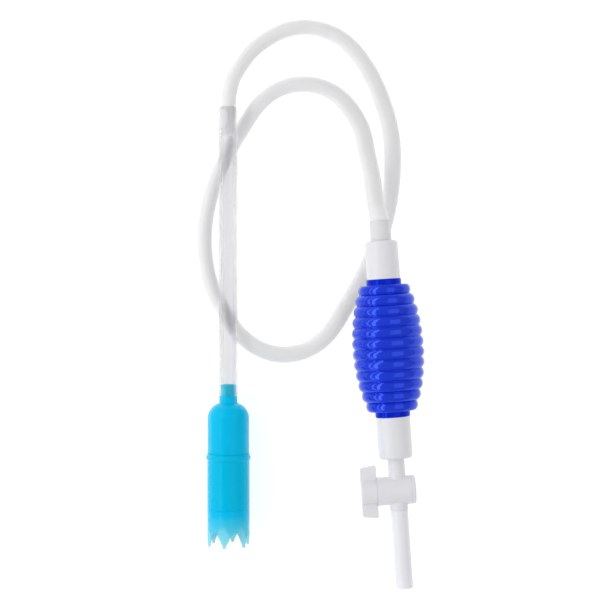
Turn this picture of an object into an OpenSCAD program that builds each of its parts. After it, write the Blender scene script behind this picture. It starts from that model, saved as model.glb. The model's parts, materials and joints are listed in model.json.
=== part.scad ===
// Gravel vacuum siphon for an aquarium or a pond, lying coiled on a flat surface.
// +Y runs along the rigid suction wand towards the hose, +X runs to the pump, +Z is up.
// The origin is under the middle of the hard parts, at the height of the surface.
// A gravel sleeve and a bell stand on a clear lift tube. One soft hose joins the tube to a
// ribbed squeeze bulb, which has a check valve in each end cap. A quarter-turn tap and a
// straight spout follow the lower cap.

/* [Layout] */
// Distance of the wand's axis to the left of the origin
wand_left = 69.4; // [66:0.1:72]
// Distance of the pump's axis to the right of the origin, at the middle of the bulb
pump_right = 57.5; // [56:0.1:60]
// Lean of the pump's axis away from the wand's direction, in degrees
pump_lean = 3.9; // [3:0.1:5]
// Rise of the wand from its teeth to its hose end, in degrees
wand_rise = 1; // [0.9:0.1:1.4]

/* [Hose] */
// Outer diameter of the soft hose
hose_d = 12; // [11:0.1:12]
// Length of hose that is pushed into the lift tube
hose_grip = 22.5; // [20:0.5:30]

/* [Suction wand] */
// Outer diameter of the clear lift tube
lift_d = 15.2; // [15:0.1:16]
// Length of the clear lift tube
lift_len = 229.5; // [226:0.5:236]
// Outer diameter of the bell above the sleeve
bell_d = 33; // [32.6:0.1:33.6]
// Outer diameter of the skirt that the sleeve slides on
skirt_d = 30.6; // [30:0.1:31]
// Outer diameter of the gravel sleeve
sleeve_d = 33.6; // [33.4:0.1:34.2]
// Length of the gravel sleeve from its rim to its tooth tips
sleeve_len = 74; // [70:1:76]
// Number of teeth around the mouth
tooth_count = 6; // [4:1:8]
// Height of each tooth
tooth_h = 12.5; // [10:0.5:14]
// Radius of each rounded tooth tip
tip_round = 1.2; // [1:0.1:1.6]
// Radius of each rounded notch between two teeth
notch_round = 2.3; // [1.8:0.1:2.6]

/* [Squeeze bulb] */
// Largest diameter of the bulb, over its ribs
bulb_d = 56.4; // [54:0.1:57]
// Number of ribs along the bulb
rib_count = 12; // [11:1:13]
// Length of the ribbed body of the bulb
bulb_len = 99.5; // [98:0.5:102]
// Depth of the grooves between the ribs
rib_depth = 1.9; // [1.4:0.1:2.2]
// Wall of the bulb under the grooves
bulb_wall = 1.8; // [1.4:0.1:2]

/* [Caps and tap] */
// Outer diameter of the hose-side cap
inlet_cap_d = 26.4; // [26:0.1:27]
// Outer diameter of the tap-side cap
outlet_cap_d = 26.9; // [26:0.1:27.4]
// Bore of the waterway through the caps and the tap
water_d = 8.8; // [8:0.1:9]
// Outer diameter of the tap's barrel
barrel_d = 22.4; // [22:0.1:23]
// Diameter of the turning plug in the barrel
plug_d = 15.9; // [15.7:0.01:15.9]
// Length of the wing's inner edge
wing_len = 41.8; // [38:0.1:42]
// Outer diameter of the spout
spout_d = 13.6; // [13:0.1:14]
// Length of the spout below the tap
spout_len = 62; // [55:1:70]

/* [Hidden] */

$fn = 72;
gap = 0.05;             // clearance of a glued or snapped joint
eps = 0.01;             // overrun of a cutting tool

// Stations along the wand, up from the tooth tips
skirt_end = 29.7;
rim_z = sleeve_len;
bell_z = rim_z + 0.5;
shoulder_z = 101.8;
shoulder_r = 12.5;
shoulder_x = bell_d / 2 - shoulder_r;
lift_z = 120.1;
spigot_top = lift_z + 8.8;
wand_len = lift_z + lift_len;
lift_wall = 1.5;
lift_bore_r = lift_d / 2 - lift_wall;
bell_wall = 1.3;
bell_bore_r = skirt_d / 2 - bell_wall;
neck_r = 7.2;
neck_bore_r = 4.6;
sleeve_bore_r = skirt_d / 2 + 0.08;
bead_r = 3.2;
bead_stand = 0.9;       // how far the bead round the rim stands out
bead_z = rim_z - 3.3;
tooth_turn = 261;       // angle of the uppermost tooth, 9 degrees off the top
grid_z = 97;
mouth_x = -wand_left;
mouth_y = -158.6;
mouth_z = sleeve_d / 2 + 0.02;

// Stations along the pump, from the middle of the bulb towards the hose
rib_pitch = bulb_len / rib_count;
rib_arc_r = (rib_pitch * rib_pitch / 4 + rib_depth * rib_depth) / (2 * rib_depth);
bulb_span = 66;         // half length at which the bulb's outline would close
neck_d = 27.6;
neck_z = 54.5;
spigot_r = 11.4;
spigot_len = 8.5;
chamber_r = 9.5;
pump_x = pump_right;
pump_y = -0.35;
pump_z = bulb_r(rib_pitch / 2);
inlet_top = 84.7;
cuff_top = 100.5;
cuff_d = 16.6;
cuff_socket = 6;
inlet_valve_z = 62.5;
outlet_valve_z = -62;
inlet_chamber = 11.1;   // depth of each cap's valve chamber above its rim
outlet_chamber = 13.7;
outlet_end = 87.4;
seat_t = 3;
disc_t = 1.5;
disc_lift = 2.5;
disc_r = 6.8;
disc_stem_r = 1.5;
valve_neck_d = 13.3;
valve_z = 112.9;
water_r = water_d / 2;

// Stations across the tap, from the pump's axis towards its plain end
barrel_left = -16.4;
barrel_right = 10.6;
barrel_wall = 3;
cap_edge = 13.9;
plug_bore_r = plug_d / 2 + 0.05;
plug_left = barrel_left + barrel_wall + 0.1;
plug_right = 8.2;
stem_r = 4;
seal_r = 0.9;
seal_ring_r = plug_bore_r - seal_r - 0.02;
seal_groove_r = seal_ring_r - seal_r - 0.05;
seal_places = [-10.9, 6.6];
hub_left = -29.2;
hub_right = barrel_left - 0.2;
hub_r = 9.25;
wing_t = 3.6;
wing_taper = 1.5;       // how far the outer edge stops short of the inner, at each end
stop_r = 6.9;
stop_peg_r = 0.9;
stop_depth = 1.4;
boss_r = 7.2;
boss_end = 15.3;        // from the barrel's axis to the end of the spout's socket
boss_socket_r = 5.5;
spout_bore_r = 5;

// Route of the hose's middle line, in half millimetres. It leaves the lift tube, comes down
// to the surface, runs clockwise, passes under the pump and under the wand, turns inside its
// own first bend, and climbs over itself into the cuff.
floor_z = hose_d / 2 + 0.2; // a hair clear of the surface, for the dips of the smooth curve
wand_top = on_wand_point(wand_len);
cuff_point = on_pump_point(cuff_top);
route = [
    on_wand_point(wand_len - hose_grip), wand_top,
    [-67.5, 206.5, 22], [-62, 220.5, 19], [-47.5, 240, 13], [-24, 254.5, 8],
    [0, 256.5, floor_z], [23, 246.5, floor_z], [41.5, 224.5, floor_z], [54.5, 196, floor_z],
    [61.5, 168, floor_z], [62, 138.5, floor_z], [58, 109.5, floor_z], [50, 82.5, floor_z],
    [38.5, 56, floor_z], [27, 36.5, floor_z], [11, 11, floor_z], [-5.5, -2, floor_z],
    [-24.5, -6.5, floor_z], [-43.5, -2.5, floor_z], [-61, 10, floor_z], [-72.5, 27, floor_z],
    [-83, 47, floor_z], [-88.5, 70.5, floor_z], [-89, 96.5, floor_z], [-84, 122.5, floor_z],
    [-74, 149, floor_z], [-62.5, 169.5, floor_z], [-44, 196.5, floor_z],
    [-23.5, 209.5, floor_z], [0, 210.5, floor_z], [21, 199.5, 7], [36, 177.5, 9],
    [41.5, 153.5, 14], [45, 134, 21], [47.5, 114, 26],
    cuff_point, on_pump_point(81.5)
];
rings_per_step = 2;
hose_sides = 12;

// ---- frames -------------------------------------------------------------------------

// A point on the wand's axis, at a distance from the tooth tips
function on_wand_point(w) =
    [mouth_x, mouth_y + w * cos(wand_rise), mouth_z + w * sin(wand_rise)];

// A point on the pump's axis, at a distance from the middle of the bulb
function on_pump_point(s) =
    [pump_x - s * sin(pump_lean), pump_y + s * cos(pump_lean), pump_z];

// Local +Z runs up the wand from the tooth tips, and local -Y is up
module on_wand() {
    translate([mouth_x, mouth_y, mouth_z]) rotate([wand_rise - 90, 0, 0]) children();
}

// Local +Z runs along the pump towards the hose, and local -Y is up
module on_pump() {
    translate([pump_x, pump_y, pump_z]) rotate([0, 0, pump_lean]) rotate([-90, 0, 0]) children();
}

// Local +Z runs across the tap towards its plain end, and local +X along the outflow
module on_tap() {
    on_pump() translate([0, 0, -valve_z]) rotate([0, 90, 0]) children();
}

// ---- shared shapes ------------------------------------------------------------------

module tube(r_out, r_in, z0, z1) {
    difference() {
        translate([0, 0, z0]) cylinder(r = r_out, h = z1 - z0);
        translate([0, 0, z0 - eps]) cylinder(r = r_in, h = z1 - z0 + 2 * eps);
    }
}

module bore(r, z0, z1) {
    translate([0, 0, z0]) cylinder(r = r, h = z1 - z0);
}

// A turned bar whose upper edge is rounded, from z0 to z1
module rounded_bar(r, z0, z1, edge) {
    rotate_extrude() {
        translate([0, z0]) square([r, z1 - z0 - edge]);
        translate([0, z0]) square([r - edge, z1 - z0]);
        intersection() {
            translate([r - edge, z1 - edge]) circle(r = edge);
            translate([0, z1 - edge]) square([r, edge]);
        }
    }
}

// ---- suction wand -------------------------------------------------------------------

// The notch between two teeth, seen from outside: a round top, straight flanks that touch
// it, and the rounded tips of the teeth on both sides
module notch_outline() {
    half = sleeve_bore_r * sin(180 / tooth_count) - 0.05;
    top_y = tooth_h - notch_round;
    reach = norm([half, top_y - tip_round]);
    flank = atan2(top_y - tip_round, half) + asin((notch_round + tip_round) / reach) - 90;
    steps = 8;
    polygon(concat(
        [[half, -1]],
        [for (i = [0:steps]) let (a = 270 - (90 + flank) * i / steps)
            [half + tip_round * cos(a), tip_round + tip_round * sin(a)]],
        [for (i = [0:2 * steps]) let (a = -flank + (180 + 2 * flank) * i / (2 * steps))
            [notch_round * cos(a), top_y + notch_round * sin(a)]],
        [for (i = [steps:-1:0]) let (a = 270 + (90 + flank) * i / steps)
            [-half + tip_round * cos(a), tip_round + tip_round * sin(a)]],
        [[-half, -1]]));
}

module gravel_sleeve() {
    color([0, 0.68, 0.92, 0.85]) on_wand() difference() {
        rotate_extrude() difference() {
            union() {
                square([sleeve_d / 2, rim_z]);
                translate([sleeve_d / 2 + bead_stand - bead_r, bead_z]) circle(r = bead_r);
            }
            translate([-eps, -1]) square([sleeve_bore_r + eps, rim_z + 2]);
        }
        for (k = [0:tooth_count - 1])
            rotate([0, 0, tooth_turn + (k + 0.5) * 360 / tooth_count + 90])
                rotate([90, 0, 0]) linear_extrude(sleeve_d) notch_outline();
    }
}

module nozzle_bell() {
    color([0, 0.7, 0.92, 0.85]) on_wand() difference() {
        union() {
            bore(skirt_d / 2, skirt_end, bell_z + 1);
            bore(bell_d / 2, bell_z, shoulder_z);
            rotate_extrude() intersection() {
                translate([shoulder_x, shoulder_z]) circle(r = shoulder_r);
                translate([0, shoulder_z]) square([bell_d, shoulder_r]);
            }
            bore(neck_r, shoulder_z, lift_z - gap);
            bore(lift_bore_r - gap, lift_z - 1, spigot_top);
        }
        bore(bell_bore_r, skirt_end - eps, shoulder_z);
        rotate_extrude() intersection() {
            translate([shoulder_x, shoulder_z]) circle(r = shoulder_r - bell_wall - 1);
            translate([0, shoulder_z - eps]) square([bell_bore_r, shoulder_r]);
        }
        bore(neck_bore_r, shoulder_z, spigot_top + eps);
    }
}

// A ring with a lattice of bars, which keeps gravel out of the lift tube
module strainer_grid() {
    ring_r = bell_bore_r - gap;
    bar_pitch = 4.4;
    bar_w = 1.2;
    grid_t = 1.8;
    color([0, 0.62, 0.88]) on_wand() {
        tube(ring_r, ring_r - 1.6, grid_z, grid_z + 3);
        intersection() {
            bore(ring_r - 1, grid_z, grid_z + grid_t);
            for (side = [0, 90], i = [-3:3])
                rotate([0, 0, side]) translate([-ring_r, i * bar_pitch - bar_w / 2, grid_z])
                    cube([2 * ring_r, bar_w, grid_t]);
        }
    }
}

module lift_tube() {
    color([0.92, 0.93, 0.95, 0.6]) on_wand() difference() {
        bore(lift_d / 2, lift_z, wand_len);
        bore(lift_bore_r, lift_z - eps, wand_len + eps);
        rotate_extrude() translate([lift_d / 2 - 0.9, wand_len])
            polygon([[0, 0.2], [1.2, 0.2], [1.2, -1.4], [0.95, -1.4]]);
    }
}

// ---- hose ---------------------------------------------------------------------------

// A point on the smooth curve through the route's points, part way along one step
function curve_point(a, b, c, d, t) =
    (2 * b + (c - a) * t + (2 * a - 5 * b + 4 * c - d) * t * t
        + (3 * b - a - 3 * c + d) * t * t * t) / 2;

function route_at(i) = route[max(0, min(len(route) - 1, i))];

function hose_line() = concat(
    [for (i = [0:len(route) - 2], k = [0:rings_per_step - 1])
        curve_point(route_at(i - 1), route_at(i), route_at(i + 1), route_at(i + 2),
            k / rings_per_step)],
    [route[len(route) - 1]]);

function unit(v) = v / norm(v);

// One ring of the hose, square to the line, with its first corner pointing sideways
function hose_ring(p, direction) =
    let (side = unit(cross([0, 0, 1], direction)), top = cross(direction, side))
    [for (k = [0:hose_sides - 1])
        p + hose_d / 2 * (cos(360 * k / hose_sides) * side + sin(360 * k / hose_sides) * top)];

module suction_hose() {
    line = hose_line();
    last = len(line) - 1;
    rings = [for (i = [0:last])
        each hose_ring(line[i], unit(line[min(i + 1, last)] - line[max(i - 1, 0)]))];
    sides = [for (i = [0:last - 1], k = [0:hose_sides - 1])
        let (a = i * hose_sides, n = (k + 1) % hose_sides)
        [a + k, a + n, a + hose_sides + n, a + hose_sides + k]];
    first_end = [for (k = [0:hose_sides - 1]) hose_sides - 1 - k];
    last_end = [for (k = [0:hose_sides - 1]) last * hose_sides + k];
    color([0.9, 0.9, 0.93, 0.9]) polyhedron(rings, concat([first_end], sides, [last_end]));
}

// ---- pump ---------------------------------------------------------------------------

// Outline radius of the bulb at a distance from its middle
function bulb_r(s) = bulb_d / 2 * sqrt(1 - s * s / (bulb_span * bulb_span));

module hose_cuff() {
    z0 = inlet_top - cuff_socket + gap;
    color([0.88, 0.88, 0.91]) on_pump() difference() {
        rounded_bar(cuff_d / 2, z0, cuff_top, 1);
        bore(hose_d / 2 + 0.1, z0 - eps, cuff_top + eps);
    }
}

// A cap: a turned cup that closes one end of the bulb, with a spigot in the bulb's neck.
// It is drawn with its open end at the bottom.
module cap_shell(r, height, chamber, socket_r, socket_len, draft) {
    edge = 2.4;
    difference() {
        union() {
            rotate_extrude() {
                polygon([[0, 0], [r, 0], [r - draft, height - edge], [0, height - edge]]);
                square([r - draft - edge, height]);
                translate([r - draft - edge, height - edge]) circle(r = edge);
            }
            bore(spigot_r, -spigot_len, 1);
        }
        bore(chamber_r, -spigot_len - eps, chamber);
        bore(water_r, 0, height + eps);
        bore(socket_r, height - socket_len, height + eps);
    }
}

module inlet_cap() {
    color([0.93, 0.93, 0.95]) on_pump() translate([0, 0, neck_z + gap])
        cap_shell(inlet_cap_d / 2, inlet_top - neck_z - gap, inlet_chamber,
            cuff_d / 2 + gap, cuff_socket, 0.4);
}

module outlet_cap() {
    color([0.93, 0.93, 0.95]) on_pump() mirror([0, 0, 1]) translate([0, 0, neck_z + gap])
        cap_shell(outlet_cap_d / 2, outlet_end - neck_z - gap, outlet_chamber,
            valve_neck_d / 2 + gap, 6.2, 0.1);
}

// The three pieces of a check valve. Water runs towards local -Z, and the seat's lower
// face is at z = 0.
module valve_seat() {
    difference() {
        bore(chamber_r - gap, 0, seat_t);
        bore(water_r, -eps, seat_t + eps);
    }
}

module valve_disc() {
    bore(disc_r, -disc_t - gap, -gap);
    bore(disc_stem_r, -disc_t - 6.5, -disc_t);
}

module valve_cage() {
    stop_z = -disc_t - 2 * gap - disc_lift;
    spoke_t = 2;
    cage_r = chamber_r - gap;
    hub = 3.2;
    tube(cage_r, cage_r - 1.6, stop_z - spoke_t, -gap);
    tube(hub, disc_stem_r + 0.08, stop_z - spoke_t, stop_z);
    for (k = [0:2])
        rotate([0, 0, 120 * k]) translate([hub - 0.4, -0.9, stop_z - spoke_t])
            cube([cage_r - hub - 0.6, 1.8, spoke_t]);
}

module inlet_seat() {
    color([0.25, 0.25, 0.27]) on_pump() translate([0, 0, inlet_valve_z]) valve_seat();
}

module inlet_disc() {
    color([0.85, 0.35, 0.3]) on_pump() translate([0, 0, inlet_valve_z]) valve_disc();
}

module inlet_cage() {
    color([0.93, 0.93, 0.95]) on_pump() translate([0, 0, inlet_valve_z]) valve_cage();
}

module outlet_seat() {
    color([0.25, 0.25, 0.27]) on_pump() translate([0, 0, outlet_valve_z]) valve_seat();
}

module outlet_disc() {
    color([0.85, 0.35, 0.3]) on_pump() translate([0, 0, outlet_valve_z]) valve_disc();
}

module outlet_cage() {
    color([0.93, 0.93, 0.95]) on_pump() translate([0, 0, outlet_valve_z]) valve_cage();
}

// A blown bulb: twelve round ribs on a barrel outline, a plain neck at each end, hollow
module squeeze_bulb() {
    half = bulb_len / 2;
    inside_end = half - 2.5;
    steps = 16;
    neck_bore = spigot_r + gap;
    color([0.08, 0.2, 0.85]) on_pump() rotate_extrude($fn = 96) difference() {
        union() {
            for (k = [0:rib_count - 1]) {
                s = (k + 0.5) * rib_pitch - half;
                translate([bulb_r(s) - rib_arc_r, s]) circle(r = rib_arc_r);
            }
            polygon(concat(
                [[0, -half], [0, half]],
                [for (i = [steps:-1:0])
                    let (s = (2 * i / steps - 1) * half) [bulb_r(s) - rib_arc_r, s]]));
            translate([0, -neck_z]) square([neck_d / 2, 2 * neck_z]);
        }
        polygon(concat(
            [[-eps, -inside_end], [-eps, inside_end]],
            [for (i = [steps:-1:0])
                let (s = (2 * i / steps - 1) * inside_end)
                [bulb_r(s) - rib_depth - bulb_wall, s]]));
        translate([-eps, -neck_z - eps]) square([neck_bore + eps, 2 * neck_z + 2 * eps]);
    }
}

// ---- tap ----------------------------------------------------------------------------

// Barrel, neck and spout socket in one moulding, with the groove of the quarter-turn stop
module valve_body() {
    color([0.93, 0.93, 0.95]) difference() {
        union() {
            on_tap() bore(barrel_d / 2, barrel_left, barrel_right);
            on_pump() bore(valve_neck_d / 2, -valve_z, 6.1 - outlet_end);
            on_pump() bore(boss_r, -valve_z - boss_end, -valve_z);
        }
        on_tap() bore(plug_bore_r, barrel_left + barrel_wall, barrel_right + eps);
        on_tap() bore(stem_r + 0.06, barrel_left - eps, 0);
        on_pump() bore(water_r, -valve_z - boss_end - eps, 0);
        on_pump() bore(boss_socket_r, -valve_z - boss_end - eps, -valve_z - boss_end + 4);
        stop_groove();
    }
}

// A quarter-circle groove in the barrel's end, a little longer than the peg's travel
module stop_groove() {
    side = stop_peg_r + 0.2;
    slack = 1.5;
    on_tap() translate([0, 0, barrel_left - eps]) {
        rotate([0, 0, 90 - slack]) rotate_extrude(angle = 90 + 2 * slack)
            translate([stop_r - side, 0]) square([2 * side, stop_depth + eps]);
        for (turn = [90 - slack, 180 + slack])
            rotate([0, 0, turn]) translate([stop_r, 0, 0])
                cylinder(r = side, h = stop_depth + eps);
    }
}

module barrel_cap() {
    color([0.91, 0.91, 0.93]) on_tap() {
        rounded_bar(barrel_d / 2, barrel_right + gap, cap_edge, 2.6);
        bore(plug_bore_r - gap, plug_right + 0.2, barrel_right + 1);
    }
}

module valve_plug() {
    color([0.9, 0.9, 0.92]) difference() {
        on_tap() {
            bore(plug_d / 2, plug_left, plug_right);
            intersection() {
                bore(stem_r, hub_left + 1.2, plug_left + 1);
                translate([-3.2, -stem_r, hub_left]) cube([6.4, 2 * stem_r, -hub_left]);
            }
            bore(stem_r, hub_right - 1, plug_left + 1);
        }
        on_pump() bore(water_r, -valve_z - plug_d, -valve_z + plug_d);
        on_tap() for (z = seal_places) tube(plug_d, seal_groove_r, z - 1, z + 1);
    }
}

module plug_seals() {
    color([0.15, 0.15, 0.16]) on_tap() for (z = seal_places)
        translate([0, 0, z]) rotate_extrude() translate([seal_ring_r, 0]) circle(r = seal_r);
}

// Round hub with a flat wing across it, a blind flatted bore and the stop peg
module wing_handle() {
    half = wing_len / 2;
    chamfer = 1;
    stem_top = hub_left + 1;
    wing_side = [[half - chamfer, hub_right], [half, hub_right - chamfer],
        [half - wing_taper, hub_left + chamfer], [half - wing_taper - chamfer, hub_left]];
    wing_turned = [for (i = [3:-1:0]) wing_side[i]];
    color([0.93, 0.93, 0.95]) on_tap() {
        difference() {
            union() {
                mirror([0, 0, 1]) rounded_bar(hub_r, -hub_right, -hub_left, 0.8);
                translate([0, wing_t / 2, 0]) rotate([90, 0, 0]) linear_extrude(wing_t)
                    polygon([for (side = [-1, 1], p = side < 0 ? wing_side : wing_turned)
                        [side * p[0], p[1]]]);
            }
            intersection() {
                bore(stem_r + gap, stem_top, 0);
                translate([-3.2 - gap, -stem_r - 1, hub_left])
                    cube([6.4 + 2 * gap, 2 * stem_r + 2, -hub_left]);
            }
            bore(stem_r + gap, hub_right - 1.2, 0);
        }
        rotate([0, 0, 90]) translate([stop_r, 0, hub_right - 1])
            cylinder(r = stop_peg_r, h = 1 + stop_depth - 0.1);
    }
}

module outlet_tube() {
    top = -valve_z - boss_end - gap;
    color([0.9, 0.9, 0.94, 0.9]) on_pump() difference() {
        union() {
            bore(spout_d / 2, top - spout_len, top);
            bore(boss_socket_r - gap, top - 1, top + 3.9);
        }
        bore(spout_bore_r - 0.6, top - 2, top + 4);
        bore(spout_bore_r, top - spout_len - eps, top - 2 + eps);
    }
}

gravel_sleeve();
nozzle_bell();
strainer_grid();
lift_tube();
suction_hose();
hose_cuff();
inlet_cap();
inlet_seat();
inlet_disc();
inlet_cage();
squeeze_bulb();
outlet_cap();
outlet_seat();
outlet_disc();
outlet_cage();
valve_body();
barrel_cap();
valve_plug();
plug_seals();
wing_handle();
outlet_tube();
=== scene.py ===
import json
import math

import bmesh
import bpy
from mathutils import Matrix, Vector, noise


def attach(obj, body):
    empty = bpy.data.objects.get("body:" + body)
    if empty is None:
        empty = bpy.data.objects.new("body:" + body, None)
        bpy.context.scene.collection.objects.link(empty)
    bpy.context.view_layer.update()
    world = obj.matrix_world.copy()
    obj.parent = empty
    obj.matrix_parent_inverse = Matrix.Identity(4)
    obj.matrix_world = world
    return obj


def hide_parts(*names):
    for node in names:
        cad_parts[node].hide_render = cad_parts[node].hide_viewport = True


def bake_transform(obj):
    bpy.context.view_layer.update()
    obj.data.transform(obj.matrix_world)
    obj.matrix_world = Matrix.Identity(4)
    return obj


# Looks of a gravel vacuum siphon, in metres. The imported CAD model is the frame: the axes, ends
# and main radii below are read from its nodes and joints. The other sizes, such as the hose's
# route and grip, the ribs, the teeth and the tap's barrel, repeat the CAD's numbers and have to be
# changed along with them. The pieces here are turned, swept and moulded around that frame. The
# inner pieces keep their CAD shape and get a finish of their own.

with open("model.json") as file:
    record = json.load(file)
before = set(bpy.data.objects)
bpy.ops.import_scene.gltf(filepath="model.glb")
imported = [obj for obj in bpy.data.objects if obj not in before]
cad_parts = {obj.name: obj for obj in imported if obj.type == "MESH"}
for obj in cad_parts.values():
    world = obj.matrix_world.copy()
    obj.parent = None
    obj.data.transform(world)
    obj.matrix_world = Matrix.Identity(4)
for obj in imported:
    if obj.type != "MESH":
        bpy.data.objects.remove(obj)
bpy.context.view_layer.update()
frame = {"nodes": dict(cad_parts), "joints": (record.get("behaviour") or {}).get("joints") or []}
joints = {joint["name"]: joint for joint in frame["joints"]}
MM = 0.001


# ---- frames of the two rigid parts --------------------------------------------------


def local_box(node, place):
    """Lowest and highest corner of a CAD node, in the frame that place maps from."""
    inverse = place.inverted()
    points = [inverse @ vertex.co for vertex in frame["nodes"][node].data.vertices]
    return Vector(map(min, zip(*points))), Vector(map(max, zip(*points)))


def lying_frame(axis, node):
    """Frame with +Z along axis and -Y up, on the middle line of a round node, at its low end."""
    z = Vector(axis).normalized()
    x = z.cross(Vector((0, 0, 1))).normalized()
    turned = Matrix((x, z.cross(x), z)).transposed().to_4x4()
    low, high = local_box(node, turned)
    return turned @ Matrix.Translation(((low.x + high.x) / 2, (low.y + high.y) / 2, low.z))


def span(node, place):
    """Low end, high end and radius of a round CAD node along its part's axis."""
    low, high = local_box(node, place)
    return low.z, high.z, high.x


wand = lying_frame(-Vector(joints["sleeve_slide"]["axis"]), "gravel_sleeve")
pump = lying_frame(joints["bulb_compress"]["axis"], "squeeze_bulb")
neck_end = span("squeeze_bulb", pump)[1] / 2
# From here on the pump's frame starts in the middle of the bulb, neck_end from both its ends.
pump = pump @ Matrix.Translation((0, 0, neck_end))
tap_turn = pump.to_3x3().to_4x4() @ Matrix.Rotation(math.radians(90), 4, "Y")
tap = Matrix.Translation(joints["handle_turn"]["pos_m"]) @ tap_turn


# ---- camera, floor and lights -------------------------------------------------------

camera_place = (-0.0123, 0.0375, 1.215)
camera_lens = 90
light_target = Vector((0, 0.03, 0.02))


def add_camera():
    """Straight above the siphon, as a product photograph of it laid out flat is taken."""
    data = bpy.data.cameras.new("camera")
    data.lens = camera_lens
    camera = bpy.data.objects.new("camera", data)
    camera.location = camera_place
    bpy.context.scene.collection.objects.link(camera)
    bpy.context.scene.camera = camera


def add_softbox(name, place, size, power):
    """A rectangular light that faces the siphon. Placed beside it, the light has the first
    number of its size along world Y."""
    data = bpy.data.lights.new(name, "AREA")
    data.shape = "RECTANGLE"
    data.size, data.size_y = size
    data.energy = power
    light = bpy.data.objects.new(name, data)
    light.location = place
    light.rotation_euler = (light_target - light.location).to_track_quat("-Z", "Y").to_euler()
    light.visible_camera = False
    bpy.context.scene.collection.objects.link(light)


def add_world(strength):
    """An even white sky."""
    world = bpy.data.worlds.new("studio")
    world.use_nodes = True
    background = world.node_tree.nodes["Background"]
    background.inputs["Color"].default_value = (1, 1, 1, 1)
    background.inputs["Strength"].default_value = strength
    bpy.context.scene.world = world


def add_floor(material, half=6.0, z=-0.0002):
    """A square sheet, a hair under the siphon's lowest points."""
    mesh = bpy.data.meshes.new("floor")
    corners = [(-half, -half, z), (half, -half, z), (half, half, z), (-half, half, z)]
    mesh.from_pydata(corners, [], [(0, 1, 2, 3)])
    mesh.materials.append(material)
    floor = bpy.data.objects.new("floor", mesh)
    bpy.context.scene.collection.objects.link(floor)


# ---- finishes -----------------------------------------------------------------------


class Finish:
    """A Principled material whose colour, roughness and relief come from nodes."""

    def __init__(self, name, **values):
        self.material = bpy.data.materials.new(name)
        self.material.use_nodes = True
        self.nodes = self.material.node_tree.nodes
        self.shader = self.nodes["Principled BSDF"]
        self.space = self.add("ShaderNodeTexCoord").outputs["Object"]
        for socket, value in values.items():
            self.shader.inputs[socket.replace("_", " ")].default_value = value

    def add(self, kind, **inputs):
        """A new node, with its inputs set to numbers or linked to other nodes' sockets."""
        node = self.nodes.new(kind)
        for name, value in inputs.items():
            self.feed(node.inputs[name.replace("_", " ")], value)
        return node

    def feed(self, socket, value):
        if isinstance(value, bpy.types.NodeSocket):
            self.material.node_tree.links.new(value, socket)
        else:
            socket.default_value = value

    def use(self, node, scale, stretch=(1, 1, 1)):
        """Puts a texture node in the piece's space, at a number of waves per metre."""
        mapping = self.add("ShaderNodeMapping", Vector=self.space)
        mapping.inputs["Scale"].default_value = stretch
        self.feed(node.inputs["Vector"], mapping.outputs["Vector"])
        node.inputs["Scale"].default_value = scale

    def noise(self, scale, detail=2.0, stretch=(1, 1, 1)):
        """Cloudy noise from 0 to 1."""
        node = self.add("ShaderNodeTexNoise", Detail=detail)
        self.use(node, scale, stretch)
        return node.outputs["Fac"]

    def attribute(self, name):
        """A node that reads a value the mesh carries at each point."""
        node = self.nodes.new("ShaderNodeAttribute")
        node.attribute_name = name
        return node

    def between(self, share, low, high, first=0.3, last=0.7):
        """A number that goes from low to high as share goes from first to last."""
        node = self.add("ShaderNodeMapRange", Value=share)
        node.inputs["From Min"].default_value = first
        node.inputs["From Max"].default_value = last
        node.inputs["To Min"].default_value = low
        node.inputs["To Max"].default_value = high
        return node.outputs["Result"]

    def math(self, operation, a, b):
        """The sum or product of two numbers or sockets."""
        node = self.nodes.new("ShaderNodeMath")
        node.operation = operation
        self.feed(node.inputs[0], a)
        self.feed(node.inputs[1], b)
        return node.outputs[0]

    def mix(self, share, a, b):
        """A colour between a and b. Inputs 6 and 7 and output 2 are the node's colour sockets."""
        node = self.nodes.new("ShaderNodeMix")
        node.data_type = "RGBA"
        self.feed(node.inputs[0], share)
        self.feed(node.inputs[6], a if isinstance(a, bpy.types.NodeSocket) else (*a, 1))
        self.feed(node.inputs[7], b if isinstance(b, bpy.types.NodeSocket) else (*b, 1))
        return node.outputs[2]

    def colour(self, value):
        self.feed(self.shader.inputs["Base Color"], value)

    def roughness(self, value):
        self.feed(self.shader.inputs["Roughness"], value)

    def relief(self, *layers):
        """Bump from the sum of layers, each a height from 0 to 1 and its depth in metres."""
        total = 0.0
        for height, depth in layers:
            total = self.math("ADD", self.math("MULTIPLY", height, depth), total)
        bump = self.add("ShaderNodeBump", Height=total, Distance=1.0)
        self.feed(self.shader.inputs["Normal"], bump.outputs["Normal"])


def floor_finish():
    """White backdrop sheet, lit evenly from below as well."""
    finish = Finish("floor_sheet", Roughness=0.7, Emission_Color=(1, 1, 1, 1),
        Emission_Strength=0.755)
    finish.colour(finish.mix(finish.noise(3), (0.34, 0.34, 0.34), (0.36, 0.36, 0.36)))
    return finish.material


def white_finish(name, light, dark, low, high):
    """White moulded polypropylene: fine spark-eroded grain, slow flow marks and faint scuffs.
    Its roughness goes from low to high."""
    finish = Finish(name, IOR=1.48, Subsurface_Weight=0.1, Subsurface_Scale=0.002,
        Subsurface_Radius=(1, 1, 1))
    finish.colour(finish.mix(finish.noise(60, 3), light, dark))
    scuffs = finish.noise(90, 6, (1, 1, 6))
    finish.roughness(finish.between(scuffs, low, high))
    finish.relief(
        (finish.noise(2600, 2), 0.004 * MM),
        (finish.noise(160, 2), 0.03 * MM),
    )
    return finish.material


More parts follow.
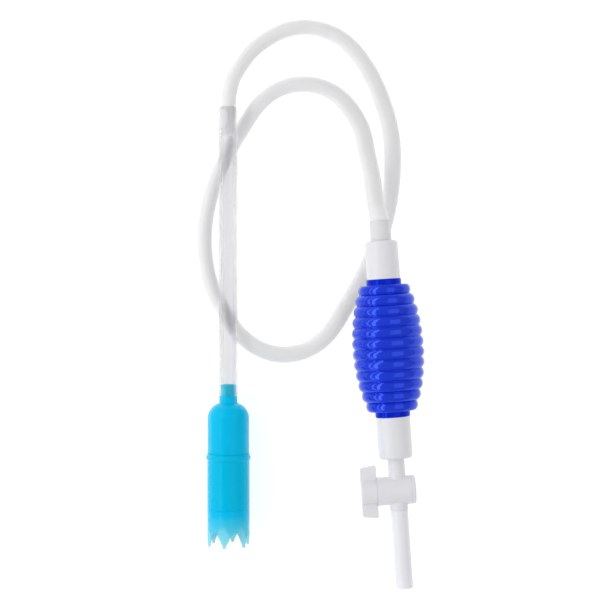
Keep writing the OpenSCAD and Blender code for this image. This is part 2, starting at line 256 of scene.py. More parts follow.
def bulb_finish():
    """Glossy blown vinyl, deep blue with a little pearl pigment in it. Its skin has soft ripples,
    and the grooves between the ribs get painted shade and less shine."""
    finish = Finish("bulb_vinyl", IOR=1.4, Metallic=0.3, Specular_Tint=(0.6, 0.9, 1, 1))
    cloud = finish.mix(finish.noise(70, 3), (0.001, 0.022, 0.66), (0.003, 0.034, 0.74))
    crest = finish.attribute("crest").outputs["Fac"]
    # Painted shade: the grooves between the ribs are coloured a darker blue than the crests.
    finish.colour(finish.mix(crest, (0.002, 0.019, 0.6), cloud))
    shine = finish.between(crest, 0.15, 1.0, 0.1, 0.9)
    finish.feed(finish.shader.inputs["Specular IOR Level"], shine)
    finish.roughness(finish.between(finish.noise(120, 5), 0.1, 0.17))
    finish.relief(
        (finish.noise(210, 2, (1, 0.6, 1)), 0.16 * MM),
        (finish.noise(900, 3), 0.012 * MM),
    )
    return finish.material


def nozzle_finish():
    """Translucent cyan styrene with drawing marks. The thin tooth tips are painted paler, painted
    light for the bench shining through them. The spigot is painted a little lighter, for the
    light that the clear tube lets in all round it."""
    finish = Finish("nozzle_styrene", IOR=1.32, Specular_Tint=(0.3, 1, 1, 1),
        Subsurface_Weight=0.4, Subsurface_Scale=0.004, Subsurface_Radius=(1, 1, 1))
    height = finish.add("ShaderNodeSeparateXYZ", Vector=finish.space).outputs["Z"]
    rise = finish.between(height, 0.0, 1.0, 0.0, 0.026)
    finish.feed(finish.shader.inputs["Alpha"], finish.between(height, 0.55, 0.82, 0.0, 0.024))
    body = finish.mix(finish.noise(45, 2), (0.0, 0.56, 0.95), (0.0, 0.62, 0.98))
    # Painted light: the spigot inside the clear tube is coloured lighter.
    in_tube = finish.between(height, 0.0, 1.0, wand_low, wand_low + 0.0003)
    body = finish.mix(in_tube, body, (0.0, 0.7, 1.0))
    # Painted light: the thin tooth tips are coloured paler, for the bench light through them.
    finish.colour(finish.mix(rise, (0.2, 0.78, 0.86), body))
    finish.roughness(finish.between(finish.noise(110, 5, (1, 1, 0.2)), 0.16, 0.28))
    finish.relief(
        (finish.noise(240, 3, (1, 1, 0.08)), 0.03 * MM),
        (finish.noise(1500, 2), 0.004 * MM),
    )
    return finish.material


def clear_finish():
    """Clear styrene tube, hazy, with long extrusion lines."""
    finish = Finish("tube_styrene", IOR=1.46, Transmission_Weight=0.96, Alpha=0.3)
    lines = finish.noise(420, 3, (1, 1, 0.01))
    finish.colour(finish.mix(lines, (0.64, 0.64, 0.67), (0.48, 0.48, 0.52)))
    finish.roughness(finish.between(finish.noise(140, 5, (1, 1, 0.15)), 0.08, 0.18))
    finish.relief((lines, 0.02 * MM), (finish.noise(1800, 2), 0.002 * MM))
    return finish.material


def hose_finish(name, light, dark):
    """Milky soft vinyl with faint extrusion lines along it and bloom in slow patches. The
    faint glow stands for the light that its thin wall lets through from the bench."""
    finish = Finish(name, IOR=1.5, Subsurface_Weight=0.9, Subsurface_Scale=0.005,
        Subsurface_Radius=(1, 1, 1), Emission_Color=(1, 1, 1, 1), Emission_Strength=0.035)
    finish.space = finish.attribute("straight").outputs["Vector"]
    lines = finish.noise(520, 2, (1, 1, 0.012))
    patches = finish.noise(38, 4, (1, 1, 0.5))
    finish.colour(finish.mix(patches, light, dark))
    finish.roughness(finish.between(patches, 0.26, 0.4))
    finish.relief((lines, 0.02 * MM), (finish.noise(150, 3), 0.05 * MM))
    return finish.material


def spout_finish():
    """Milky extruded spout."""
    finish = Finish("spout_vinyl", IOR=1.5, Subsurface_Weight=0.4, Subsurface_Scale=0.002,
        Subsurface_Radius=(1, 1, 1))
    lines = finish.noise(480, 2, (1, 1, 0.02))
    finish.colour(finish.mix(finish.noise(50, 4), (0.86, 0.86, 0.9), (0.82, 0.82, 0.86)))
    finish.roughness(finish.between(finish.noise(90, 4), 0.26, 0.38))
    finish.relief((lines, 0.02 * MM), (finish.noise(1600, 2), 0.003 * MM))
    return finish.material


def rubber_finish(name, light, dark):
    """Dull rubber with a fine grain."""
    finish = Finish(name, IOR=1.45)
    finish.colour(finish.mix(finish.noise(300, 4), light, dark))
    finish.roughness(finish.between(finish.noise(400, 3), 0.5, 0.66))
    finish.relief((finish.noise(2200, 3), 0.008 * MM))
    return finish.material


# ---- shapes -------------------------------------------------------------------------


def rounded(corners, steps=5):
    """Outline of (radius, height) points from corners of (radius, height, rounding)."""
    points = []
    for i, (r, z, rounding) in enumerate(corners):
        here = Vector((r, z))
        if rounding <= 0:
            points.append(here)
            continue
        before = Vector(corners[i - 1][:2]) - here
        after = Vector(corners[(i + 1) % len(corners)][:2]) - here
        half = before.angle(after) / 2
        reach = min(rounding / math.tan(half), 0.49 * before.length, 0.49 * after.length)
        centre = before.normalized() + after.normalized()
        centre = here + centre.normalized() * (reach / math.cos(half))
        start = here + before.normalized() * reach - centre
        end = here + after.normalized() * reach - centre
        turn = math.atan2(start.x * end.y - start.y * end.x, start.dot(end))
        for k in range(steps + 1):
            spoke = start.copy()
            spoke.rotate(Matrix.Rotation(turn * k / steps, 2))
            points.append(centre + spoke)
    return points


def arc(r, z, radius, first, last, steps):
    """Points of (radius, height) on an arc round (r, z), between two angles in degrees."""
    turns = [math.radians(first + (last - first) * k / steps) for k in range(steps + 1)]
    return [Vector((r + radius * math.cos(a), z + radius * math.sin(a))) for a in turns]


def skin(rows):
    """Vertices and faces of a closed skin. Each row is a closed loop of points, and the last
    row joins the first."""
    count = len(rows[0])
    vertices = [point for row in rows for point in row]
    faces = []
    for i in range(len(rows)):
        a, b = i * count, ((i + 1) % len(rows)) * count
        for k in range(count):
            n = (k + 1) % count
            faces.append((a + k, a + n, b + n, b + k))
    return vertices, faces


def shade(mesh, sharp):
    """Smooth shading, with hard edges where faces meet at more than an angle in degrees."""
    mesh.shade_smooth()
    mesh.set_sharp_from_angle(angle=math.radians(sharp))


def make_mesh(name, vertices, faces, sharp=32):
    """A clean smooth-shaded mesh: points that meet are merged and normals face out."""
    mesh = bpy.data.meshes.new(name)
    mesh.from_pydata(vertices, [], faces)
    work = bmesh.new()
    work.from_mesh(mesh)
    bmesh.ops.remove_doubles(work, verts=work.verts, dist=1e-6)
    bmesh.ops.dissolve_degenerate(work, edges=work.edges, dist=1e-7)
    bmesh.ops.recalc_face_normals(work, faces=work.faces)
    work.to_mesh(mesh)
    work.free()
    shade(mesh, sharp)
    return mesh


def add_piece(name, mesh, place, material):
    """Shows a mesh as a piece of its own, at its place and in its material."""
    mesh.materials.append(material)
    piece = bpy.data.objects.new(name, mesh)
    piece.matrix_world = place
    bpy.context.scene.collection.objects.link(piece)
    return piece


def turned(name, outline, segments=96, sharp=32):
    """Mesh of a closed outline of (radius, height) points, turned round the local Z axis."""
    turns = [2 * math.pi * k / segments for k in range(segments)]
    rows = [[(r * math.cos(a), r * math.sin(a), z) for a in turns] for r, z in outline]
    return make_mesh(name, *skin(rows), sharp)


def finish_piece(piece, body, slot, *nodes):
    """Lets a piece ride on its body and stand for its CAD nodes. slot is not used."""
    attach(piece, body)
    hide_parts(*nodes)


# ---- hose ---------------------------------------------------------------------------

hose_r = 0.006
hose_bore_r = 0.0045
hose_grip = 0.0225
floor_z = 0.0062
wand_low, wand_high, lift_r = span("lift_tube", wand)
cuff_low, cuff_high, cuff_r = span("hose_cuff", pump)
hose_exit = wand @ Vector((0, 0, wand_high))
# The CAD's route of the hose's middle line: it leaves the lift tube, lies down, runs round
# under the pump and the wand, and climbs over its own first bend into the cuff.
hose_route = [
    wand @ Vector((0, 0, wand_high - hose_grip)), hose_exit,
    (-0.0675, 0.2065, 0.022), (-0.062, 0.2205, 0.019), (-0.0475, 0.24, 0.013),
    (-0.024, 0.2545, 0.008), (0, 0.2565, floor_z), (0.023, 0.2465, floor_z),
    (0.0415, 0.2245, floor_z), (0.0545, 0.196, floor_z), (0.0615, 0.168, floor_z),
    (0.062, 0.1385, floor_z), (0.058, 0.1095, floor_z), (0.05, 0.0825, floor_z),
    (0.0385, 0.056, floor_z), (0.027, 0.0365, floor_z), (0.011, 0.011, floor_z),
    (-0.0055, -0.002, floor_z), (-0.0245, -0.0065, floor_z), (-0.0435, -0.0025, floor_z),
    (-0.061, 0.01, floor_z), (-0.0725, 0.027, floor_z), (-0.083, 0.047, floor_z),
    (-0.0885, 0.0705, floor_z), (-0.089, 0.0965, floor_z), (-0.084, 0.1225, floor_z),
    (-0.074, 0.149, floor_z), (-0.0625, 0.1695, floor_z), (-0.044, 0.1965, floor_z),
    (-0.0235, 0.2095, floor_z), (0, 0.2105, floor_z), (0.021, 0.1995, 0.007),
    (0.036, 0.1775, 0.009), (0.0415, 0.1535, 0.014), (0.045, 0.134, 0.021),
    (0.0475, 0.114, 0.026), pump @ Vector((0, 0, cuff_high)),
    pump @ Vector((0, 0, cuff_low + 0.003)),
]
# Half the hose's width and height at some of the route's points. Soft hose kept coiled sets a
# little oval, and its end is swollen in the mouth of the cuff.
hose_shape = [(0, 0.006, 0.006), (2, 0.006, 0.006), (6, 0.0059, 0.0061), (9, 0.0068, 0.0051),
    (14, 0.007, 0.0048), (18, 0.0065, 0.0055), (22, 0.0061, 0.0059), (29, 0.0061, 0.0059),
    (32, 0.0071, 0.0047), (35, 0.0071, 0.0057), (36, 0.0078, 0.0078), (36.3, 0.006, 0.006),
    (37, 0.006, 0.006)]
hose_rings_per_step = 9
hose_sides = 40


def curve_point(i, t):
    """A point on the smooth curve through the route's points, part way along step i."""
    last = len(hose_route) - 1
    a, b, c, d = (Vector(hose_route[max(0, min(last, i + k))]) for k in (-1, 0, 1, 2))
    return (2 * b + (c - a) * t + (2 * a - 5 * b + 4 * c - d) * t * t
        + (3 * b - a - 3 * c + d) * t * t * t) / 2


def half_size(place):
    """Half the hose's width and height at a place along the route, counted in its points."""
    for (first, *low), (last, *high) in zip(hose_shape, hose_shape[1:]):
        if place <= last:
            t = (place - first) / (last - first)
            return [a + (b - a) * t * t * (3 - 2 * t) for a, b in zip(low, high)]
    return hose_shape[-1][1:]


def hose_line():
    """Middle points of the hose with half its width and height, a closer set than the route."""
    steps = [(i, k / hose_rings_per_step) for i in range(len(hose_route) - 1)
        for k in range(hose_rings_per_step)] + [(len(hose_route) - 2, 1.0)]
    line = []
    for i, t in steps:
        wide, tall = half_size(i + t)
        sunk = Vector((0, 0, min(tall - hose_r, 0)))
        line.append((curve_point(i, t) + sunk, wide, tall))
    return line


def hose_rings(line):
    """Rings of points of the hose's outer and inner skin along its line, and the place of each
    point on the hose laid out straight."""
    last = len(line) - 1
    unevenness = 0.012
    outer, inner, straight = [], [], []
    along = 0.0
    for i, (middle, wide, tall) in enumerate(line):
        direction = (line[min(i + 1, last)][0] - line[max(i - 1, 0)][0]).normalized()
        side = Vector((0, 0, 1)).cross(direction).normalized()
        top = direction.cross(side)
        along += (middle - line[max(i - 1, 0)][0]).length
        for rows, share in ((outer, 1.0), (inner, hose_bore_r / hose_r)):
            row = []
            for k in range(hose_sides):
                a = 2 * math.pi * k / hose_sides
                swell = 1 + unevenness * noise.noise((along * 40, share, a / 3))
                row.append(middle + share * swell
                    * (wide * math.cos(a) * side + tall * math.sin(a) * top))
                straight.append((hose_r * math.cos(a), hose_r * math.sin(a), along))
            rows.append(row)
    return outer, inner, straight


def straight_places(places):
    """Flat list of the straight places, in the order of the hose's vertices: the outer rings
    from start to end, and then the inner rings from end to start."""
    rows = [places[i:i + hose_sides] for i in range(0, len(places), hose_sides)]
    ordered = rows[0::2] + rows[1::2][::-1]
    return [value for row in ordered for place in row for value in place]


def build_hose(material):
    """Hollow hose. Its mesh carries each point's place on the hose laid out straight."""
    line = hose_line()
    outer, inner, straight = hose_rings(line)
    vertices, faces = skin(outer + inner[::-1])
    mesh = bpy.data.meshes.new("hose")
    mesh.from_pydata(vertices, [], faces)
    layer = mesh.attributes.new("straight", "FLOAT_VECTOR", "POINT")
    layer.data.foreach_set("vector", straight_places(straight))
    face_out(mesh)
    piece = add_piece("soft_hose", mesh, Matrix.Identity(4), material)
    finish_piece(piece, "root", "hose_vinyl", "suction_hose")


def face_out(mesh):
    """Turns the hose's faces outwards and keeps all its points, with their straight places."""
    work = bmesh.new()
    work.from_mesh(mesh)
    bmesh.ops.recalc_face_normals(work, faces=work.faces)
    work.to_mesh(mesh)
    work.free()
    shade(mesh, 50)


# ---- suction wand -------------------------------------------------------------------

tooth_count = 6
tooth_turn = math.radians(261)
tooth_h = 0.0125
tip_round = 0.0012
notch_round = 0.0023
skirt_r = 0.0153
skirt_bore_r = 0.014
neck_r = 0.0072
neck_bore_r = 0.0046
shoulder_r = 0.0125
sleeve_r = 0.0168
sleeve_bore_r = 0.01538
bead_r = 0.0032
columns_per_tooth = 44
sleeve_high, bead_peak_r = span("gravel_sleeve", wand)[1:]
skirt_end, spigot_top, bell_r = span("nozzle_bell", wand)


def tooth_edge(across):
    """Height of the sleeve's mouth above its tooth tips. across is 0 in the middle of a notch
    and 1 at the middle of a tooth."""
    half = sleeve_bore_r * math.sin(math.pi / tooth_count)
    x = across * half
    top = tooth_h - notch_round
    reach = math.hypot(half, top - tip_round)
    flank = math.atan2(top - tip_round, half) + math.asin((notch_round + tip_round) / reach)
    flank -= math.pi / 2
    notch_x = notch_round * math.cos(flank)
    notch_z = top - notch_round * math.sin(flank)
    tip_a = math.radians(180) - flank
    tip_x = half + tip_round * math.cos(tip_a)
    tip_z = tip_round + tip_round * math.sin(-tip_a)
    if x <= notch_x:
        return top + math.sqrt(notch_round ** 2 - x ** 2)
    if x >= tip_x:
        return tip_round - math.sqrt(max(tip_round ** 2 - (x - half) ** 2, 0))
    return notch_z + (tip_z - notch_z) * (x - notch_x) / (tip_x - notch_x)


def sleeve_outer_r(z):
    """Outer radius of the sleeve: straight, with a round bead under its rim."""
    off = z - (sleeve_high - 0.0033)
    bead = bead_peak_r - bead_r + math.sqrt(max(bead_r ** 2 - off ** 2, 0))
    return max(sleeve_r, bead)


def sleeve_row(radius, height):
    """A closed row of points at a radius. Its height is a number, or a function of the height
    of the toothed mouth."""
    count = tooth_count * columns_per_tooth
    points = []
    for k in range(count):
        a = tooth_turn + 2 * math.pi * k / count
        across = 1 - abs((k / columns_per_tooth + 0.5) % 1 * 2 - 1)
        z = height(tooth_edge(across)) if callable(height) else height
        points.append((radius * math.cos(a), radius * math.sin(a), z))
    return points


def sleeve_rows():
    """Rows of the sleeve: down its outside, round the edge of its teeth and up its bore."""
    edge = 0.00045
    level = 0.0155
    line_w = 0.0003
    line_depth = 0.0003
    bead_rows = [sleeve_high - 0.0008 - 0.0052 * k / 18 for k in range(19)]
    above_line = [0.06, 0.05, 0.04, 0.034, skirt_end + line_w]
    below_line = [skirt_end - line_w, 0.024, 0.019]
    shares = [1, 0.8, 0.6, 0.4, 0.25, 0.12, 0.05]
    wall = sleeve_r - sleeve_bore_r

    def between_edge_and_level(share):
        return lambda low: low + edge + (level - low) * share

    rows = [sleeve_row(sleeve_bore_r + 0.0003, sleeve_high),
        sleeve_row(sleeve_r - 0.0003, sleeve_high),
        sleeve_row(sleeve_r - 0.00008, sleeve_high - 0.0001),
        sleeve_row(sleeve_r, sleeve_high - 0.0004)]
    rows += [sleeve_row(sleeve_outer_r(z), z) for z in bead_rows + above_line]
    rows.append(sleeve_row(sleeve_r - line_depth, skirt_end))
    rows += [sleeve_row(sleeve_r, z) for z in below_line]
    rows += [sleeve_row(sleeve_r, between_edge_and_level(share)) for share in shares]
    for k in range(9):
        a = math.pi * k / 8
        r = sleeve_r - wall / 2 + wall / 2 * math.cos(a)
        rows.append(sleeve_row(r, lambda low: low + edge * (1 - math.sin(a))))
    rows += [sleeve_row(sleeve_bore_r, between_edge_and_level(share)) for share in shares[::-1]]
    rows += [sleeve_row(sleeve_bore_r, z) for z in below_line[::-1] + above_line[::-1]]
    rows.append(sleeve_row(sleeve_bore_r, sleeve_high - 0.0003))
    return rows


def build_sleeve(material):
    """The toothed sleeve, with a fine line where the skirt inside it ends."""
    mesh = make_mesh("sleeve", *skin(sleeve_rows()), 40)
    piece = add_piece("toothed_sleeve", mesh, wand, material)
    finish_piece(piece, "sleeve", "nozzle_blue", "gravel_sleeve")


def plain(points):
    """Corners without rounding, from points of (radius, height)."""
    return [(*point, 0) for point in points]


def build_bell(material):
    """The bell, with its skirt inside the sleeve and its spigot inside the lift tube."""
    bell_low = sleeve_high + 0.00004
    shoulder_z = 0.1018
    shoulder_x = bell_r - shoulder_r
    lift_z = wand_low - 0.00005
    spigot_r = 0.00605
    inner_r = shoulder_r - 0.0023
    neck_turn = math.degrees(math.acos((neck_r - shoulder_x) / shoulder_r))
    neck_z = shoulder_z + shoulder_r * math.sin(math.radians(neck_turn))
    bore_turn = math.degrees(math.acos((skirt_bore_r - shoulder_x) / inner_r))
    top_turn = math.degrees(math.acos((neck_bore_r - shoulder_x) / inner_r))
    shoulder = plain(arc(shoulder_x, shoulder_z, shoulder_r, 0, neck_turn - 5, 16))
    inside = plain(arc(shoulder_x, shoulder_z, inner_r, top_turn, bore_turn, 12))
    corners = [(skirt_bore_r, skirt_end, 0.0003), (skirt_r, skirt_end, 0.0005),
        (skirt_r, bell_low, 0.0002), (bell_r, bell_low, 0.0002), *shoulder,
        (neck_r, neck_z, 0.0009), (neck_r, lift_z, 0.0004), (spigot_r, lift_z, 0.0001),
        (spigot_r, spigot_top, 0.0005), (neck_bore_r, spigot_top, 0.0003), *inside]
    piece = add_piece("bell_body", turned("bell", rounded(corners), 120), wand, material)
    finish_piece(piece, "root", "nozzle_blue", "nozzle_bell")


def build_lift_tube(material):
    """The clear tube, with a bevel round its upper end."""
    bore = 0.0061
    corners = [(bore, wand_low, 0.0002), (lift_r, wand_low, 0.0003),
        (lift_r, wand_high - 0.0014, 0.0003), (lift_r - 0.0008, wand_high, 0.0003),
        (bore, wand_high, 0.0002)]
    piece = add_piece("clear_tube", turned("tube", rounded(corners), 96), wand, material)
    finish_piece(piece, "root", "clear_tube", "lift_tube")


# ---- pump ---------------------------------------------------------------------------

rib_count = 12
rib_depth = 0.0019
rows_per_rib = 16
bulb_len = 0.0995
bulb_r = 0.0282
bulb_span = 0.066
neck_bore = 0.01145
bulb_neck_r = 0.0138
water_r = 0.0044


def barrel_r(s):
    """Radius of the bulb's barrel outline, over its ribs, at a distance from its middle."""
    return bulb_r * math.sqrt(1 - (s / bulb_span) ** 2)


def rib_r(s):
    """Radius over the round ribs, with a small soft crease in each groove."""
    pitch = bulb_len / rib_count
    round_r = (pitch ** 2 / 4 + rib_depth ** 2) / (2 * rib_depth)
    soft = 0.0004
    tops = []
    for k in range(rib_count):
        middle = (k + 0.5) * pitch - bulb_len / 2
        if abs(s - middle) < 0.98 * round_r:
            tops.append(barrel_r(middle) - round_r + math.sqrt(round_r ** 2 - (s - middle) ** 2))
    peak = max(tops)
    return peak + soft * math.log(sum(math.exp((top - peak) / soft) for top in tops))


def bulb_corners():
    """Outline of the hollow bulb, from its lower neck up the outside and down the inside."""
    half = bulb_len / 2
    inset = 0.0011
    inner_steps = 30
    rows = rib_count * rows_per_rib
    outside = [(1 - 2 * k / rows) * (inset - half) for k in range(rows + 1)]
    inside = [half - 0.0025 - (bulb_len - 0.005) * k / inner_steps
        for k in range(inner_steps + 1)]
    wall = rib_depth + 0.0018
    shoulder = rib_r(half)
    return [(neck_bore, -neck_end, 0.0003), (bulb_neck_r, -neck_end, 0.0007),
        (bulb_neck_r, -half, 0.0007), (shoulder, -half, 0.0008),
        *[(rib_r(s), s, 0) for s in outside],
        (shoulder, half, 0.0008), (bulb_neck_r, half, 0.0007), (bulb_neck_r, neck_end, 0.0007),
        (neck_bore, neck_end, 0.0003), (neck_bore, inside[0], 0),
        *[(barrel_r(s) - wall, s, 0) for s in inside], (neck_bore, inside[-1], 0)]


def build_bulb(material):
    """The blown bulb, with its mould seam along both sides and the soft waves of its skin. It
    throws no blue on the hose and the bench beside it, as in the photo."""
    seam = 0.00016
    wave_height = 0.00016
    barrel_end = 0.05
    seam_offsets = [-1.1, -0.5, 0, 0.5, 1.1]
    degrees = [3 * k for k in range(120) if k % 60]
    degrees += [side + off for side in (0, 180) for off in seam_offsets]
    turns = [math.radians(d) for d in sorted(degrees)]
    rows, crests = [], []
    for r, s in rounded(bulb_corners()):
        top = barrel_r(min(max(s, -barrel_end), barrel_end))
        outside = r > top - rib_depth - 0.001
        row = []
        for a in turns:
            wave = noise.noise((r * math.cos(a) * 45, r * math.sin(a) * 45, s * 60))
            side = min(abs(math.degrees(math.asin(math.sin(a)))), 3)
            ridge = seam * math.exp(-(side / 0.6) ** 2)
            swell = wave_height * wave + ridge if outside else 0
            row.append(((r + swell) * math.cos(a), (r + swell) * math.sin(a), s))
        rows.append(row)
        # How near each row lies to a rib's crest; the finish paints shade into the grooves from
        # it.
        depth = (top - r) / rib_depth
        crests.append(min(max(1.15 - depth, 0), 1))
    mesh = make_mesh("bulb", *skin(rows), 50)
    layer = mesh.attributes.new("crest", "FLOAT", "POINT")
    layer.data.foreach_set("value", [crest for crest in crests for a in turns])
    piece = add_piece("ribbed_bulb", mesh, pump, material)
    piece.visible_diffuse = False
    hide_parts("squeeze_bulb")
    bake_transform(piece)


def cap_corners(top_r, rim_r, height, chamber, socket_r, socket_len):
    """Outline of a cap that stands on the bulb's neck, drawn upwards from its rim."""
    spigot_r = 0.0114
    spigot_len = 0.0085
    chamber_r = 0.0095
    groove_z = 0.0024
    groove = 0.00018
    return [(chamber_r, -spigot_len, 0.0003), (spigot_r, -spigot_len, 0.0005),
        (spigot_r, 0, 0.0001), (rim_r, 0, 0.0004), (rim_r, groove_z - 0.0004, 0.0001),
        (rim_r - groove, groove_z, 0.0001), (rim_r, groove_z + 0.0004, 0.0001),
        (top_r, height, 0.0024), (socket_r, height, 0.0004),
        (socket_r, height - socket_len, 0), (water_r, height - socket_len, 0),
        (water_r, chamber, 0), (chamber_r, chamber, 0)]


def build_caps(material):
    """Both caps. The one on the tap side is turned over, so that it stands on its neck too."""
    end = neck_end + 0.00005
    up = Matrix.Translation((0, 0, end))
    down = Matrix.Translation((0, 0, -end))
    flip = Matrix.Rotation(math.pi, 4, "X")
    inlet_high = span("inlet_cap", pump)[1] - end
    outlet_high = -span("outlet_cap", pump)[0] - end
    inlet = cap_corners(top_r=0.0128, rim_r=0.0132, height=inlet_high, chamber=0.0111,
        socket_r=0.00835, socket_len=0.006)
    outlet = cap_corners(top_r=0.01335, rim_r=0.01345, height=outlet_high, chamber=0.0137,
        socket_r=0.0067, socket_len=0.0062)
    piece = add_piece("hose_side_cap", turned("cap", rounded(inlet)), pump @ up, material)
    finish_piece(piece, "root", "white_plastic", "inlet_cap")
    piece = add_piece("tap_side_cap", turned("cap", rounded(outlet)), pump @ down @ flip, material)
    finish_piece(piece, "outlet_end", "white_plastic", "outlet_cap")


def build_cuff(material):
    """The sleeve over the hose's end, flared at its mouth."""
    bore = 0.0061
    mouth = 0.00795
    corners = [(bore, cuff_low, 0.0002), (cuff_r, cuff_low, 0.0003),
        (cuff_r, cuff_high - 0.0012, 0.001), (mouth + 0.0001, cuff_high, 0),
        (mouth, cuff_high, 0), (mouth, cuff_high - 0.0015, 0), (bore, cuff_high - 0.0075, 0)]
    piece = add_piece("hose_sleeve", turned("cuff", rounded(corners)), pump, material)
    finish_piece(piece, "root", "cuff_vinyl", "hose_cuff")


# ---- tap ----------------------------------------------------------------------------


def add_part(mesh, place):
    """A closed solid as an object that goes into a moulding, not shown by itself."""
    mesh.transform(place)
    part = bpy.data.objects.new("part", mesh)
    bpy.context.scene.collection.objects.link(part)
    return part


def rod(r, low, high, place, rounding=0.0):
    """A round bar along local Z."""
    corners = [(0, low, 0), (r, low, rounding), (r, high, rounding), (0, high, 0)]
    return add_part(turned("part", rounded(corners)), place)


def prism(points, half, place):
    """A bar of the outline's shape in local X and Z, with half its thickness each way along Y."""
    count = len(points)
    vertices = [(x, side * half, z) for side in (-1, 1) for x, z in points]
    faces = [tuple(range(count)), tuple(range(2 * count - 1, count - 1, -1))]
    for k in range(count):
        n = (k + 1) % count
        faces.append((k, k + count, n + count, n))
    return add_part(make_mesh("part", vertices, faces), place)


def apply_all(piece):
    """Turns a piece's modifiers into its own mesh."""
    graph = bpy.context.evaluated_depsgraph_get()
    mesh = bpy.data.meshes.new_from_object(piece.evaluated_get(graph))
    piece.modifiers.clear()
    piece.data = mesh


def moulded(parts, holes, voxel, rounds):
    """One moulding from overlapping solids: they melt into one skin with soft inner and outer
    edges, and then the holes are cut."""
    base = parts[0]
    work = bmesh.new()
    for part in parts:
        work.from_mesh(part.data)
    work.to_mesh(base.data)
    work.free()
    melt = base.modifiers.new("melt", "REMESH")
    melt.mode = "VOXEL"
    melt.voxel_size = voxel
    soften = base.modifiers.new("soften", "SMOOTH")
    soften.factor = 0.5
    soften.iterations = rounds
    apply_all(base)
    for hole in holes:
        cut = base.modifiers.new("cut", "BOOLEAN")
        cut.operation = "DIFFERENCE"
        cut.solver = "EXACT"
        cut.object = hole
        apply_all(base)
    for part in parts[1:] + holes:
        bpy.data.objects.remove(part)
    mesh = base.data
    shade(mesh, 40)
    bpy.data.objects.remove(base)
    return mesh


barrel_r_out = 0.0112
barrel_left = -0.0164
barrel_right = 0.0106
barrel_wall = 0.003
plug_bore_r = 0.008
stem_r = 0.004
boss_r = 0.0072
boss_socket_r = 0.0055
valve_s = 0.1129
boss_end = 0.0153
valve_neck_r = 0.00665


def build_valve_body(material):
    """The tap's body: its neck, cross barrel and spout socket melt into one, made a little
    longer than they are and then cut flat."""
    neck_top = -span("valve_body", pump)[1]
    spare = 0.003
    parts = [rod(barrel_r_out, barrel_left - spare, barrel_right + spare, tap),
        rod(valve_neck_r, -valve_s, -neck_top, pump),
        rod(boss_r, -valve_s - boss_end - spare, -valve_s, pump)]
    holes = [rod(2 * boss_r, -valve_s - boss_end - 2 * spare, -valve_s - boss_end, pump),
        rod(2 * barrel_r_out, barrel_left - 2 * spare, barrel_left, tap),
        rod(2 * barrel_r_out, barrel_right, barrel_right + 2 * spare, tap),
        rod(plug_bore_r, barrel_left + barrel_wall, barrel_right + 0.001, tap),
        rod(stem_r + 0.00006, barrel_left - 0.001, 0, tap),
        rod(water_r, -valve_s - boss_end - 0.001, 0, pump),
        rod(boss_socket_r, -valve_s - boss_end - 0.001, -valve_s - boss_end + 0.004, pump)]
    mesh = moulded(parts, holes, voxel=0.00035, rounds=5)
    piece = add_piece("tap_body", mesh, Matrix.Identity(4), material)
    finish_piece(piece, "outlet_end", "white_plastic", "valve_body")


def build_barrel_cap(material):
    """The rounded cap that closes the barrel's plain end."""
    spigot_low, high = span("barrel_cap", tap)[:2]
    low = barrel_right + 0.00005
    spigot_r = plug_bore_r - 0.00005
    corners = [(0, spigot_low, 0), (spigot_r, spigot_low, 0.0004),
        (spigot_r, low, 0), (barrel_r_out, low, 0.0002),
        (barrel_r_out, high, 0.0026), (0, high - 0.0002, 0)]
    piece = add_piece("end_cap", turned("cap", rounded(corners, 8)), tap, material)
    finish_piece(piece, "outlet_end", "white_plastic", "barrel_cap")


def build_wing(material):
    """The handle: a round hub with a flat wing whose outer edge is a little shorter."""
    hub_left = -0.0292
    hub_right = barrel_left - 0.00006
    hub_r = 0.00925
    half = 0.0209
    taper = 0.0015
    chamfer = 0.001
    half_thickness = 0.0018
    side = [(half - chamfer, hub_right), (half, hub_right - chamfer),
        (half - taper, hub_left + chamfer), (half - taper - chamfer, hub_left)]
    outline = side + [(-x, z) for x, z in side[::-1]]
    parts = [rod(hub_r, hub_left, hub_right + 0.003, tap, 0.0009),
        prism(outline, half_thickness, tap)]
    holes = [rod(2 * hub_r, hub_right, hub_right + 0.006, tap),
        rod(stem_r + 0.00005, hub_left + 0.001, 0, tap)]
    mesh = moulded(parts, holes, voxel=0.0003, rounds=5)
    piece = add_piece("wing_lever", mesh, Matrix.Identity(4), material)
    finish_piece(piece, "tap_handle", "white_plastic", "wing_handle")


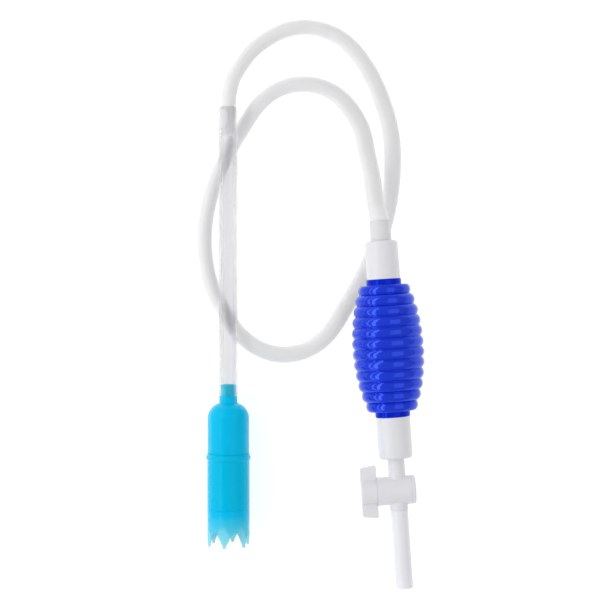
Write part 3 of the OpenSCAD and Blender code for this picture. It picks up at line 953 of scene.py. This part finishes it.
def build_spout(material):
    """The drain spout, with a thinner root inside the tap's socket."""
    low, high, r = span("outlet_tube", pump)
    bore = 0.005
    socket = boss_socket_r - 0.00005
    face = high - 0.0039
    corners = [(bore, low, 0.0003), (r, low, 0.0005), (r, face, 0.0002), (socket, face, 0),
        (socket, high, 0.0003), (water_r, high, 0.0002), (water_r, face - 0.002, 0),
        (bore, face - 0.002, 0)]
    piece = add_piece("drain_spout", turned("spout", rounded(corners)), pump, material)
    finish_piece(piece, "outlet_end", "spout_plastic", "outlet_tube")


# ---- inner pieces -------------------------------------------------------------------


def finish_inner_pieces(nozzle_material, white_material):
    """Gives the CAD nodes that are shown as they are a finish of their own."""
    plug = white_finish("plug_plastic", light=(0.78, 0.78, 0.8), dark=(0.74, 0.74, 0.76),
        low=0.2, high=0.3)
    seal = rubber_finish("seal_rubber", (0.02, 0.02, 0.022), (0.03, 0.03, 0.032))
    disc = rubber_finish("disc_rubber", (0.6, 0.1, 0.07), (0.66, 0.13, 0.09))
    finishes = {
        "strainer_grid": nozzle_material,
        "valve_plug": plug,
        "plug_seals": seal,
        "inlet_seat": seal,
        "outlet_seat": seal,
        "inlet_disc": disc,
        "outlet_disc": disc,
        "inlet_cage": white_material,
        "outlet_cage": white_material,
    }
    for node, material in finishes.items():
        for place in frame["nodes"][node].material_slots:
            place.material = material


# ---- build --------------------------------------------------------------------------

bpy.context.scene.view_settings.view_transform = "Standard"
add_camera()
add_floor(floor_finish())
add_world(0.58)
add_softbox("key", place=(-0.62, 0.08, 0.64), size=(2.4, 0.2), power=3.9)
add_softbox("strip", place=(-0.9, 0.03, 0.36), size=(4.0, 0.12), power=3.6)
add_softbox("fill", place=(0.6, 0.05, 1.1), size=(1.6, 0.8), power=2.7)

white_material = white_finish("white_plastic", light=(0.8, 0.8, 0.83), dark=(0.77, 0.77, 0.8),
    low=0.3, high=0.42)
nozzle_material = nozzle_finish()
build_hose(hose_finish("hose_vinyl", light=(0.94, 0.94, 0.97), dark=(0.9, 0.9, 0.94)))
build_sleeve(nozzle_material)
build_bell(nozzle_material)
build_lift_tube(clear_finish())
build_bulb(bulb_finish())
build_caps(white_material)
build_cuff(white_finish("cuff_vinyl", light=(0.78, 0.78, 0.8), dark=(0.72, 0.72, 0.74),
    low=0.34, high=0.5))
build_valve_body(white_material)
build_barrel_cap(white_material)
build_wing(white_material)
build_spout(spout_finish())

finish_inner_pieces(nozzle_material, white_material)
